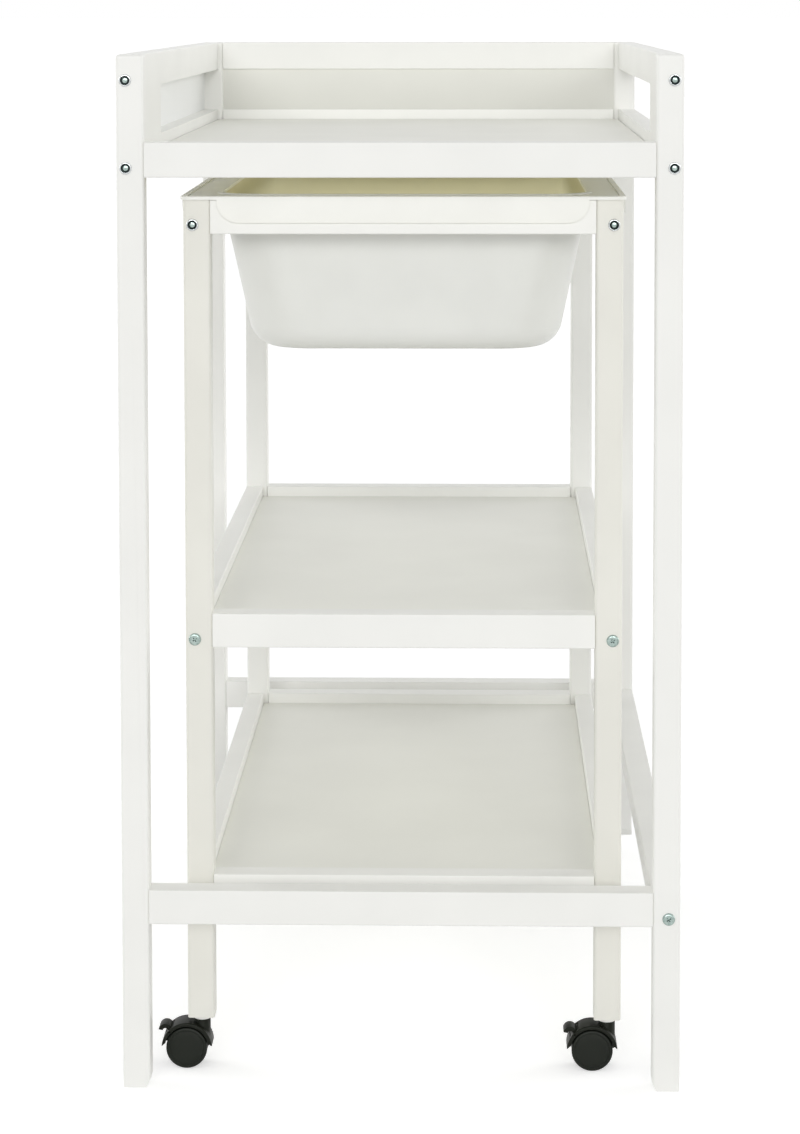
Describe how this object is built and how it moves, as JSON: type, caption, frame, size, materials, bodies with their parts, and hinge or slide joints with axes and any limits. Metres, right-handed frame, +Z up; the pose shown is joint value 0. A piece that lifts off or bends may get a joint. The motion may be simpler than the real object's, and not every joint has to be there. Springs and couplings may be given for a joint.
{
  "type": "changing table with bathtub",
  "caption": "Changing table: a framed changing surface with raised sides over a roll-out trolley on casters, which carries a lift-out bath tub and two shelves.",
  "frame": {"origin": "centre of the footprint on the floor, midway between the outer faces of the four frame posts", "axes": "+X along the table to its right end, which has no guard rail; +Y from the open front, where a parent stands and the trolley rolls out, to the back; +Z up"},
  "size_m": [0.9248, 0.53, 0.985],
  "materials": {
    "white_lacquered_wood": "satin white lacquer",
    "white_panel": "satin white melamine",
    "tub_plastic": "soft gloss",
    "black_nylon": "moulded satin",
    "black_wheel_plastic": "moulded satin",
    "zinc_steel": "bright zinc",
    "white_nylon": "moulded satin",
    "grey_rubber": "matte"
  },
  "bodies": {
    "frame": {"post_front_right": "white_lacquered_wood", "post_front_left": "white_lacquered_wood", "post_back_right": "white_lacquered_wood", "post_back_left": "white_lacquered_wood", "changing_rail_right": "white_lacquered_wood", "changing_rail_left": "white_lacquered_wood", "guard_rail_left": "white_lacquered_wood", "low_rail_right": "white_lacquered_wood", "low_rail_left": "white_lacquered_wood", "low_rail_back": "white_lacquered_wood", "side_board_front": "white_lacquered_wood", "side_board_back": "white_lacquered_wood", "slot_panel_front": "white_panel", "end_panel_left": "white_panel", "changing_top": "white_panel", "top_battens": "white_lacquered_wood", "frame_connector_bolts": "zinc_steel", "frame_insert_nuts": "zinc_steel", "frame_rail_screws": "zinc_steel"},
    "trolley": {"trolley_post_front_right": "white_lacquered_wood", "trolley_post_front_left": "white_lacquered_wood", "trolley_post_back_right": "white_lacquered_wood", "trolley_post_back_left": "white_lacquered_wood", "tub_rail_right": "white_lacquered_wood", "tub_rail_left": "white_lacquered_wood", "tub_rail_front": "white_lacquered_wood", "tub_rail_back": "white_lacquered_wood", "mid_shelf_rail_right": "white_lacquered_wood", "mid_shelf_rail_left": "white_lacquered_wood", "mid_shelf_rail_front": "white_lacquered_wood", "mid_shelf_rail_back": "white_lacquered_wood", "low_shelf_rail_right": "white_lacquered_wood", "low_shelf_rail_left": "white_lacquered_wood", "low_shelf_rail_front": "white_lacquered_wood", "low_shelf_rail_back": "white_lacquered_wood", "mid_shelf": "white_panel", "low_shelf": "white_panel", "trolley_connector_bolts": "zinc_steel", "trolley_insert_nuts": "zinc_steel", "trolley_shelf_screws": "zinc_steel", "caster_stems": "zinc_steel", "caster_bushes": "white_nylon"},
    "tub": {"bath_tub": "tub_plastic", "drain_fitting": "white_nylon", "drain_nut": "white_nylon"},
    "plug": {"drain_plug": "grey_rubber"},
    "caster_front_right": {"caster_hood_front_right": "black_nylon"},
    "wheels_front_right": {"caster_wheels_front_right": "black_wheel_plastic"},
    "brake_front_right": {"caster_brake_front_right": "black_nylon"},
    "caster_front_left": {"caster_hood_front_left": "black_nylon"},
    "wheels_front_left": {"caster_wheels_front_left": "black_wheel_plastic"},
    "brake_front_left": {"caster_brake_front_left": "black_nylon"},
    "caster_back_right": {"caster_hood_back_right": "black_nylon"},
    "wheels_back_right": {"caster_wheels_back_right": "black_wheel_plastic"},
    "brake_back_right": {"caster_brake_back_right": "black_nylon"},
    "caster_back_left": {"caster_hood_back_left": "black_nylon"},
    "wheels_back_left": {"caster_wheels_back_left": "black_wheel_plastic"},
    "brake_back_left": {"caster_brake_back_left": "black_nylon"}
  },
  "joints": [
    {"name": "trolley_roll_out", "type": "slide", "parent": "frame", "child": "trolley", "axis": [0, -1, 0], "range_m": [0, 0.52]},
    {"name": "tub_lift", "type": "slide", "parent": "trolley", "child": "tub", "axis": [0, 0, 1], "range_m": [0, 0.015]},
    {"name": "plug_lift", "type": "slide", "parent": "tub", "child": "plug", "axis": [0, 0, 1], "range_m": [0, 0.03]},
    {"name": "caster_swivel_front_right", "type": "hinge", "parent": "trolley", "child": "caster_front_right", "pos_m": [0.392, -0.195, 0.0465], "axis": [0, 0, 1], "continuous": true},
    {"name": "wheels_turn_front_right", "type": "hinge", "parent": "caster_front_right", "child": "wheels_front_right", "pos_m": [0.392, -0.2095, 0.02], "axis": [1, 0, 0], "continuous": true},
    {"name": "brake_press_front_right", "type": "hinge", "parent": "caster_front_right", "child": "brake_front_right", "pos_m": [0.392, -0.22621, 0.03558], "axis": [1, 0, 0], "range_deg": [0, 8]},
    {"name": "caster_swivel_front_left", "type": "hinge", "parent": "trolley", "child": "caster_front_left", "pos_m": [-0.382, -0.195, 0.0465], "axis": [0, 0, 1], "continuous": true},
    {"name": "wheels_turn_front_left", "type": "hinge", "parent": "caster_front_left", "child": "wheels_front_left", "pos_m": [-0.382, -0.2095, 0.02], "axis": [1, 0, 0], "continuous": true},
    {"name": "brake_press_front_left", "type": "hinge", "parent": "caster_front_left", "child": "brake_front_left", "pos_m": [-0.382, -0.22621, 0.03558], "axis": [1, 0, 0], "range_deg": [0, 8]},
    {"name": "caster_swivel_back_right", "type": "hinge", "parent": "trolley", "child": "caster_back_right", "pos_m": [0.392, 0.1986, 0.0465], "axis": [0, 0, 1], "continuous": true},
    {"name": "wheels_turn_back_right", "type": "hinge", "parent": "caster_back_right", "child": "wheels_back_right", "pos_m": [0.392, 0.1841, 0.02], "axis": [1, 0, 0], "continuous": true},
    {"name": "brake_press_back_right", "type": "hinge", "parent": "caster_back_right", "child": "brake_back_right", "pos_m": [0.392, 0.16739, 0.03558], "axis": [1, 0, 0], "range_deg": [0, 8]},
    {"name": "caster_swivel_back_left", "type": "hinge", "parent": "trolley", "child": "caster_back_left", "pos_m": [-0.382, 0.1986, 0.0465], "axis": [0, 0, 1], "continuous": true},
    {"name": "wheels_turn_back_left", "type": "hinge", "parent": "caster_back_left", "child": "wheels_back_left", "pos_m": [-0.382, 0.1841, 0.02], "axis": [1, 0, 0], "continuous": true},
    {"name": "brake_press_back_left", "type": "hinge", "parent": "caster_back_left", "child": "brake_back_left", "pos_m": [-0.382, 0.16739, 0.03558], "axis": [1, 0, 0], "range_deg": [0, 8]}
  ]
}
